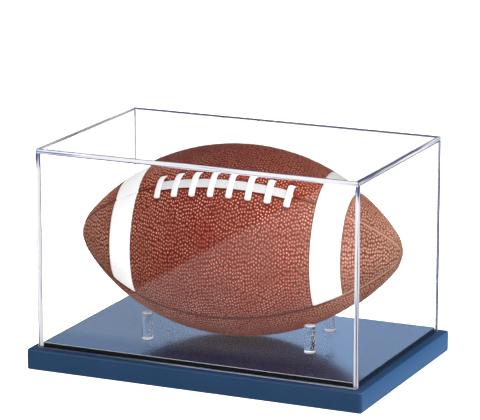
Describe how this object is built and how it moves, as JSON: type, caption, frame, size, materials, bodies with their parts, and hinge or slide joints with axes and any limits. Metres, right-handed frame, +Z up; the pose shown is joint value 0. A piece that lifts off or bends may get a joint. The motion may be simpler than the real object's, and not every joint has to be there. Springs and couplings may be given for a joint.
{
  "type": "football display case",
  "caption": "Clear display case for a football: lift-off acrylic cover over a painted base with a raised deck, posts and the laced ball.",
  "frame": {"origin": "centre of the footprint, on the surface that the rubber feet stand on", "axes": "+X along the long side to the right, +Y from the front face to the back, +Z up"},
  "size_m": [0.326, 0.214, 0.2042],
  "materials": {
    "painted_board": "satin",
    "rubber_foot": "matte",
    "screw_steel": "satin",
    "deck_black": "gloss",
    "deck_navy": "gloss",
    "clear_acrylic": "polished",
    "post_acrylic": "polished",
    "ball_leather": "satin",
    "bladder_rubber": "matte",
    "valve_rubber": "matte",
    "lace_white": "matte",
    "stripe_white": "satin"
  },
  "bodies": {
    "base": {"base_board": "painted_board", "foot_front_left": "rubber_foot", "foot_front_right": "rubber_foot", "foot_back_right": "rubber_foot", "foot_back_left": "rubber_foot", "deck_core": "deck_black", "deck_sheet": "deck_navy", "deck_screws": "screw_steel", "post_front_left": "post_acrylic", "post_front_right": "post_acrylic", "post_back_right": "post_acrylic", "post_back_left": "post_acrylic"},
    "cover": {"cover_front": "clear_acrylic", "cover_back": "clear_acrylic", "cover_left": "clear_acrylic", "cover_right": "clear_acrylic", "cover_top": "clear_acrylic"},
    "football": {"panel_front": "ball_leather", "panel_bottom": "ball_leather", "panel_back": "ball_leather", "panel_top": "ball_leather", "bladder": "bladder_rubber", "valve": "valve_rubber", "lace_bar": "lace_white", "lace_1": "lace_white", "lace_2": "lace_white", "lace_3": "lace_white", "lace_4": "lace_white", "lace_5": "lace_white", "lace_6": "lace_white", "lace_7": "lace_white", "lace_8": "lace_white", "stripe_front_left": "stripe_white", "stripe_front_right": "stripe_white", "stripe_top_left": "stripe_white", "stripe_top_right": "stripe_white"}
  },
  "joints": [
    {"name": "cover_lift", "type": "slide", "parent": "base", "child": "cover", "axis": [0, 0, 1], "range_m": [0, 0.2]},
    {"name": "football_roll", "type": "hinge", "parent": "base", "child": "football", "pos_m": [0, 0, 0.1127], "axis": [0.9903, 0.1392, 0], "continuous": true}
  ]
}
